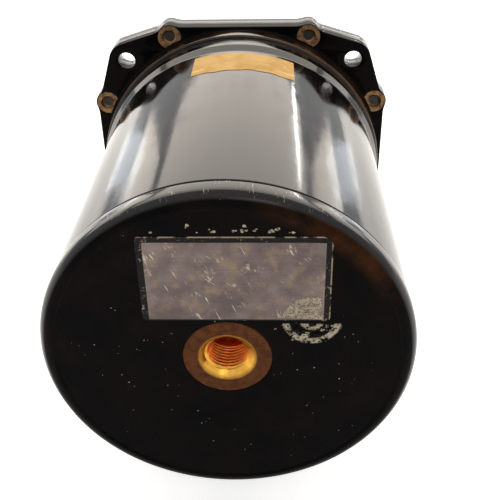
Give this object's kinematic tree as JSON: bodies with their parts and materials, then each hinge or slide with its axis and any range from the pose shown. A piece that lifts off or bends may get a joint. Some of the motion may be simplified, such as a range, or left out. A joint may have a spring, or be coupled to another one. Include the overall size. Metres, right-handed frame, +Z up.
{
  "type": "altimeter",
  "caption": "Panel-mounted barometric altimeter with a square flange, sealed round case, coaxial pointers, geared capsule movement, setting knob and rear pipe port.",
  "frame": {"origin": "on the case axis, in the face of the bezel plate that lies against the instrument panel", "axes": "+Y along the case axis from the dial to the rear face, +Z up, and +X to the right as seen from the dial side"},
  "size_m": [0.0828, 0.1086, 0.0828],
  "materials": {
    "case_black": "gloss",
    "port_brass": "aged",
    "insert_brass": "satin",
    "plate_foil": "worn satin",
    "tape_yellow": "matte",
    "bezel_paint": "matte",
    "screw_steel": "satin",
    "seal_rubber": "matte",
    "cover_glass": "clear",
    "dial_paint": "matte",
    "pointer_paint": "matte",
    "movement_brass": "satin",
    "arbor_steel": "polished",
    "capsule_bronze": "satin",
    "plate_aluminium": "machined",
    "knob_black": "matte"
  },
  "bodies": {
    "case": {"case_shell": "case_black", "static_port": "port_brass", "bezel_inserts": "insert_brass", "data_plate": "plate_foil", "case_tape": "tape_yellow", "bezel": "bezel_paint", "bezel_screws": "screw_steel", "glass_gasket": "seal_rubber", "cover_glass": "cover_glass", "glass_seal_ring": "seal_rubber", "dial": "dial_paint", "dial_posts": "movement_brass", "dial_screws": "screw_steel", "baro_disc_clip": "arbor_steel", "idler_stud": "arbor_steel", "knob_bush": "movement_brass", "knob_seal": "seal_rubber", "front_plate": "plate_aluminium", "middle_plate": "plate_aluminium", "rear_plate": "plate_aluminium", "front_pillars": "movement_brass", "rear_pillars": "movement_brass", "pillar_screws": "screw_steel", "movement_screws": "screw_steel", "hairspring": "arbor_steel", "hairspring_stud": "movement_brass", "capsule_upper": "capsule_bronze", "capsule_lower": "capsule_bronze", "capsule_stud": "arbor_steel", "capsule_nut": "screw_steel", "capsule_cradle": "plate_aluminium", "shaft_bridge": "plate_aluminium", "bracket_screws": "screw_steel"},
    "hundreds": {"pointer_hundreds": "pointer_paint", "centre_staff": "arbor_steel"},
    "thousands": {"pointer_thousands": "pointer_paint", "thousands_tube": "arbor_steel", "thousands_wheel": "movement_brass"},
    "ten_thousands": {"pointer_ten_thousands": "pointer_paint", "ten_thousands_tube": "arbor_steel", "ten_thousands_wheel": "movement_brass"},
    "layshaft_a": {"layshaft_a": "arbor_steel", "layshaft_a_wheel": "movement_brass"},
    "layshaft_b": {"layshaft_b": "arbor_steel", "layshaft_b_wheel": "movement_brass"},
    "middle": {"middle_arbor": "arbor_steel", "middle_wheel": "movement_brass"},
    "rocking": {"rocking_shaft": "arbor_steel", "sector_gear": "movement_brass", "balance_weight": "movement_brass", "rocking_arm": "arbor_steel"},
    "link": {"drag_link": "arbor_steel"},
    "capsule_top": {"capsule_post": "arbor_steel"},
    "baro_disc": {"baro_disc": "dial_paint"},
    "baro_idler": {"setting_idler": "movement_brass"},
    "knob": {"knob": "knob_black", "knob_set_screw": "screw_steel", "knob_stem": "arbor_steel", "knob_pinion": "movement_brass"}
  },
  "joints": [
    {"name": "hundreds_turn", "type": "hinge", "parent": "case", "child": "hundreds", "pos_m": [0, 0, 0], "axis": [0, 1, 0], "range_deg": [-964.8, 6595.2]},
    {"name": "thousands_turn", "type": "hinge", "parent": "case", "child": "thousands", "pos_m": [0, 0, 0], "axis": [0, 1, 0], "range_deg": [-96.5, 659.6]},
    {"name": "ten_thousands_turn", "type": "hinge", "parent": "case", "child": "ten_thousands", "pos_m": [0, 0, 0], "axis": [0, 1, 0], "range_deg": [-9.66, 66]},
    {"name": "layshaft_a_turn", "type": "hinge", "parent": "case", "child": "layshaft_a", "pos_m": [0.00619, 0, 0.00619], "axis": [0, 1, 0], "range_deg": [-1649, 241.3]},
    {"name": "layshaft_b_turn", "type": "hinge", "parent": "case", "child": "layshaft_b", "pos_m": [-0.01034, 0, 0.00182], "axis": [0, 1, 0], "range_deg": [-165, 24.2]},
    {"name": "middle_turn", "type": "hinge", "parent": "case", "child": "middle", "pos_m": [0, 0, -0.0176], "axis": [0, 1, 0], "range_deg": [-659.6, 96.5]},
    {"name": "rocking_turn", "type": "hinge", "parent": "case", "child": "rocking", "pos_m": [0, 0, 0.0096], "axis": [0, 1, 0], "range_deg": [-7.67, 52.36]},
    {"name": "link_turn", "type": "hinge", "parent": "rocking", "child": "link", "pos_m": [-0.0037, 0, 0.00808], "axis": [0, 1, 0], "range_deg": [-52.36, 7.67]},
    {"name": "capsule_rise", "type": "slide", "parent": "case", "child": "capsule_top", "axis": [0, 0, 1], "range_m": [-0.00052, 0.00352], "deforming": ["capsule_upper", "capsule_lower"]},
    {"name": "baro_disc_turn", "type": "hinge", "parent": "case", "child": "baro_disc", "pos_m": [0, 0, 0], "axis": [0, 1, 0], "range_deg": [-163.8, 97.2]},
    {"name": "baro_idler_turn", "type": "hinge", "parent": "case", "child": "baro_idler", "pos_m": [-0.02333, 0, -0.02333], "axis": [0, 1, 0], "range_deg": [-615.7, 1037.5]},
    {"name": "knob_turn", "type": "hinge", "parent": "case", "child": "knob", "pos_m": [-0.02991, 0, -0.02991], "axis": [0, 1, 0], "range_deg": [-972.7, 577.3]}
  ],
  "couplings": [
    {"joint": "thousands_turn", "follows": "hundreds_turn", "ratio": 0.1},
    {"joint": "ten_thousands_turn", "follows": "hundreds_turn", "ratio": 0.01},
    {"joint": "layshaft_a_turn", "follows": "hundreds_turn", "ratio": -0.25},
    {"joint": "layshaft_b_turn", "follows": "hundreds_turn", "ratio": -0.025},
    {"joint": "middle_turn", "follows": "hundreds_turn", "ratio": -0.1},
    {"joint": "rocking_turn", "follows": "hundreds_turn", "ratio": 0.0079365},
    {"joint": "link_turn", "follows": "hundreds_turn", "ratio": -0.0079365},
    {"joint": "capsule_rise", "follows": "hundreds_turn", "m_per_rad": 0.000030556},
    {"joint": "baro_idler_turn", "follows": "baro_disc_turn", "ratio": -6.3333},
    {"joint": "knob_turn", "follows": "baro_disc_turn", "ratio": 5.9375}
  ]
}
